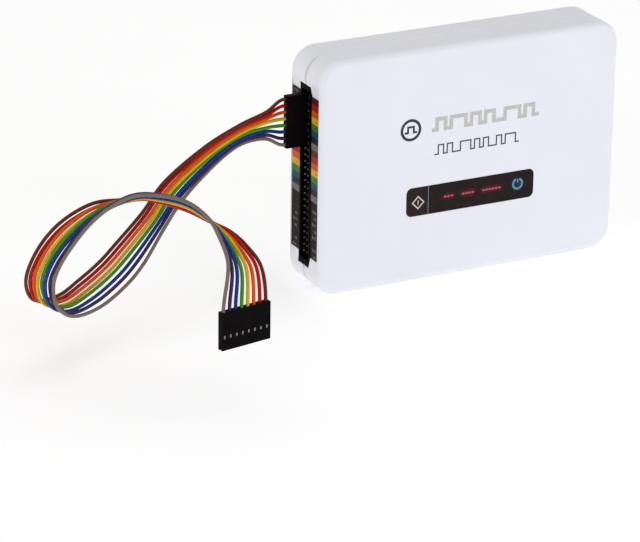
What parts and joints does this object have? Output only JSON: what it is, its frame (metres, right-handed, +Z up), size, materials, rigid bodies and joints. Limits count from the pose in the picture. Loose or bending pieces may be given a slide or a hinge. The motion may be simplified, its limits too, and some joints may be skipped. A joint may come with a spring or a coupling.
{
  "type": "usb logic analyzer",
  "caption": "Pocket USB logic analyzer: rounded two-part plastic case on its long side, dark key panel, boxed side port, and a plugged-in ribbon of coloured test wires.",
  "frame": {"origin": "middle of the long narrow side the case stands on, on the case's centre line", "axes": "+X along the case's width, from the channel port side to the USB side; +Y from the front panel towards the rear; +Z up"},
  "size_m": [0.2521, 0.1068, 0.092],
  "materials": {
    "case": "fine satin moulding",
    "panel": "gloss",
    "key": "gloss",
    "switch_black": "matte",
    "switch_stem": "matte",
    "light_pipe": "clear moulded acrylic",
    "lamp": "gloss",
    "board": "solder mask",
    "chip": "matte",
    "resistor": "matte",
    "passive": "ceramic",
    "can": "satin",
    "header": "matte",
    "pins": "gold flash",
    "strip": "printed film with colour cells",
    "usb_metal": "plated",
    "usb_plastic": "matte",
    "screw": "zinc plated",
    "foot": "matte",
    "plate": "blank film",
    "plug": "satin",
    "crimp": "tin plated",
    "wire_brown": "satin PVC insulation",
    "wire_red": "satin PVC insulation",
    "wire_orange": "satin PVC insulation",
    "wire_yellow": "satin PVC insulation",
    "wire_green": "satin PVC insulation",
    "wire_blue": "satin PVC insulation",
    "wire_violet": "satin PVC insulation",
    "wire_grey": "satin PVC insulation"
  },
  "bodies": {
    "case": {"front_cover": "case", "rear_cover": "case", "panel_lens": "panel", "tact_switch_body": "switch_black", "light_pipe": "light_pipe", "indicator_leds": "lamp", "power_led": "lamp", "main_board": "board", "logic_chip": "chip", "memory_chip": "chip", "usb_chip": "chip", "input_buffers": "chip", "resistor_networks": "resistor", "chip_passives": "passive", "crystal": "can", "regulator": "chip", "electrolytic_caps": "can", "port_header": "header", "port_pins": "pins", "port_strip_front": "strip", "port_strip_rear": "strip", "usb_shell": "usb_metal", "usb_insert": "usb_plastic", "usb_contacts": "pins", "case_screws": "screw", "rubber_feet": "foot", "rating_plate": "plate"},
    "start_key": {"start_key": "key"},
    "switch_stem": {"switch_stem": "switch_stem"},
    "near_plug": {"near_plug_housing": "plug", "near_contacts": "crimp"},
    "lead_wires": {"wire_brown": "wire_brown", "wire_red": "wire_red", "wire_orange": "wire_orange", "wire_yellow": "wire_yellow", "wire_green": "wire_green", "wire_blue": "wire_blue", "wire_violet": "wire_violet", "wire_grey": "wire_grey"},
    "far_plug": {"far_plug_housing": "plug", "far_contacts": "crimp"}
  },
  "joints": [
    {"name": "start_key_press", "type": "slide", "parent": "case", "child": "start_key", "axis": [0, 1, 0], "range_m": [0, 0.0005], "stiffness_N_per_m": 200, "springref_m": -0.0005},
    {"name": "switch_stem_travel", "type": "slide", "parent": "case", "child": "switch_stem", "axis": [0, 1, 0], "range_m": [0, 0.0005]},
    {"name": "near_plug_pull", "type": "slide", "parent": "case", "child": "near_plug", "axis": [-1, 0, 0], "range_m": [0, 0.015]},
    {"name": "lead_swing", "type": "hinge", "parent": "near_plug", "child": "lead_wires", "pos_m": [-0.071, 0.00127, 0.06659], "axis": [0, 0, 1], "range_deg": [-15, 15], "stiffness_Nm_per_rad": 0.02},
    {"name": "far_plug_tilt", "type": "hinge", "parent": "lead_wires", "child": "far_plug", "pos_m": [-0.13052, -0.08983, 0.03815], "axis": [0.9848, 0.1736, 0], "range_deg": [-20, 20], "stiffness_Nm_per_rad": 0.002}
  ],
  "couplings": [
    {"joint": "switch_stem_travel", "follows": "start_key_press", "ratio": 1}
  ]
}
